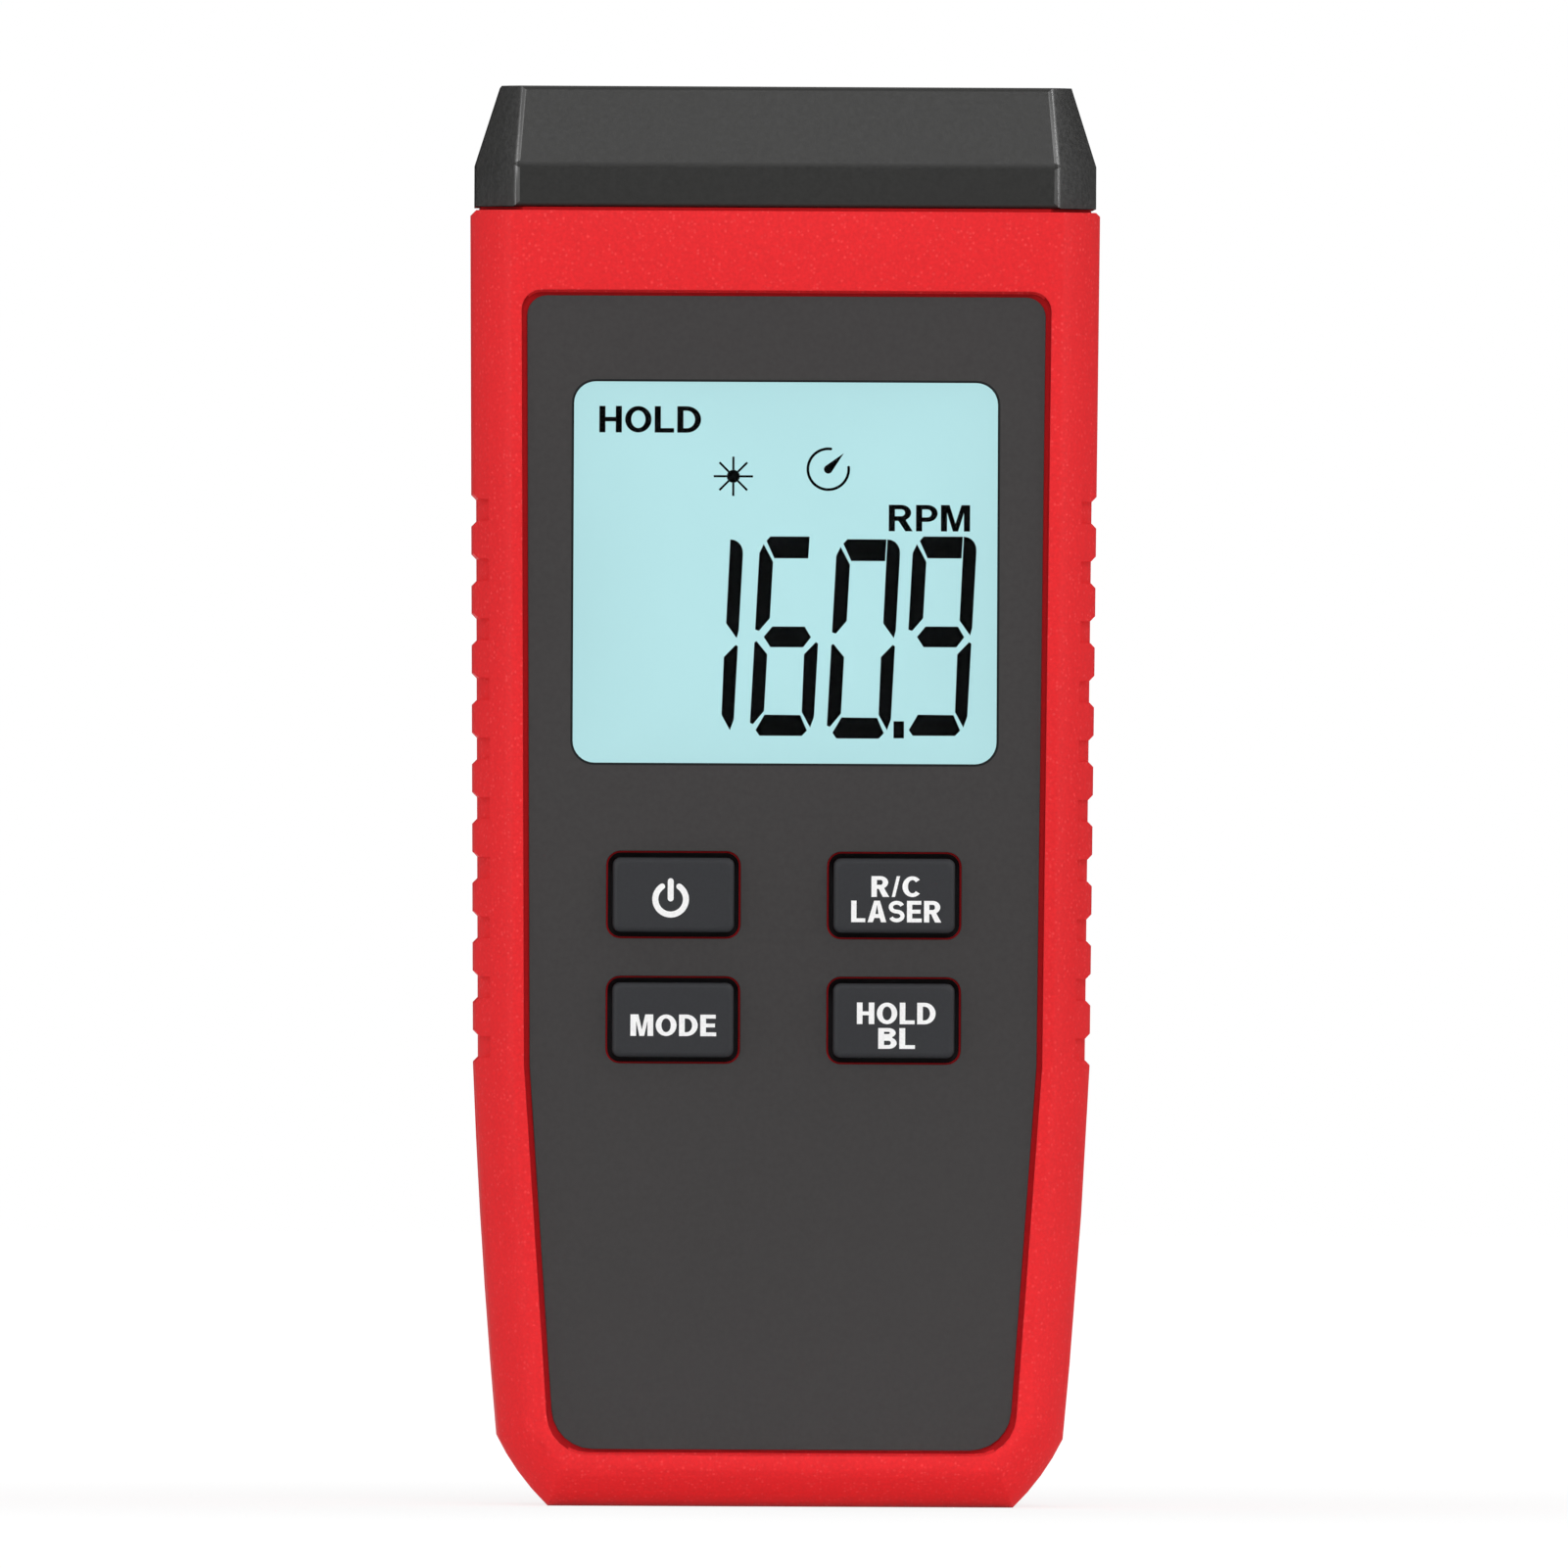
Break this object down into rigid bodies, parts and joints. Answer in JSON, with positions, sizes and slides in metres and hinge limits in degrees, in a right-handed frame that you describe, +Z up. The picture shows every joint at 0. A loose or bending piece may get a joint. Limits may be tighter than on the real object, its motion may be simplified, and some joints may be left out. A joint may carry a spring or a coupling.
{
  "type": "laser tachometer",
  "caption": "Handheld laser tachometer with a tapered two-part case, dark optical head, backlit display, push keys, grip notches and a tilting battery door.",
  "frame": {"origin": "middle of the flat base, on the surface the instrument stands on", "axes": "+Z up along the case towards the optical head, +X to the right of the display, -Y out of the display"},
  "size_m": [0.0574, 0.029, 0.13],
  "materials": {
    "case_plastic": "fine matte texture",
    "head_plastic": "satin",
    "overlay_film": "satin print film",
    "clear_window": "polished",
    "display_glass": "backlit",
    "white_plastic": "moulded",
    "light_guide": "diffusing",
    "contact_rubber": "matt",
    "board": "solder mask",
    "chip_resin": "moulded resin",
    "key_rubber": "matt",
    "brass": "turned",
    "lens_glass": "polished",
    "screw_steel": "zinc plated",
    "bright_metal": "nickel plated",
    "cell_jacket": "plain printed jacket"
  },
  "bodies": {
    "case": {"front_case": "case_plastic", "rear_case": "case_plastic", "top_cap": "head_plastic", "face_overlay": "overlay_film", "display_lens": "clear_window", "lcd_panel": "display_glass", "lcd_holder": "white_plastic", "light_guide": "light_guide", "backlight_leds": "white_plastic", "contact_strips": "contact_rubber", "main_board": "board", "controller_chip": "chip_resin", "amplifier_chip": "chip_resin", "timing_crystal": "bright_metal", "keypad_mat": "key_rubber", "optics_block": "chip_resin", "laser_module": "brass", "laser_lens": "lens_glass", "laser_diode": "brass", "receiver_lens": "lens_glass", "photodiode": "chip_resin", "cell_left": "cell_jacket", "cell_middle": "cell_jacket", "cell_right": "cell_jacket", "plus_contact": "bright_metal", "minus_contact": "bright_metal", "upper_bridge": "bright_metal", "lower_bridge": "bright_metal", "battery_springs": "bright_metal", "case_screws": "screw_steel"},
    "power_key": {"power_key": "key_rubber", "power_pill": "contact_rubber"},
    "laser_key": {"laser_key": "key_rubber", "laser_pill": "contact_rubber"},
    "mode_key": {"mode_key": "key_rubber", "mode_pill": "contact_rubber"},
    "hold_key": {"hold_key": "key_rubber", "hold_pill": "contact_rubber"},
    "battery_door": {"battery_door": "case_plastic", "door_screw": "screw_steel"}
  },
  "joints": [
    {"name": "power_key_press", "type": "slide", "parent": "case", "child": "power_key", "axis": [0, 1, 0], "range_m": [0, 0.0009], "stiffness_N_per_m": 900},
    {"name": "laser_key_press", "type": "slide", "parent": "case", "child": "laser_key", "axis": [0, 1, 0], "range_m": [0, 0.0009], "stiffness_N_per_m": 900},
    {"name": "mode_key_press", "type": "slide", "parent": "case", "child": "mode_key", "axis": [0, 1, 0], "range_m": [0, 0.0009], "stiffness_N_per_m": 900},
    {"name": "hold_key_press", "type": "slide", "parent": "case", "child": "hold_key", "axis": [0, 1, 0], "range_m": [0, 0.0009], "stiffness_N_per_m": 900},
    {"name": "battery_door_tilt", "type": "hinge", "parent": "case", "child": "battery_door", "pos_m": [0, 0.0145, 0.00864], "axis": [-1, 0, 0], "range_deg": [0, 50]}
  ]
}
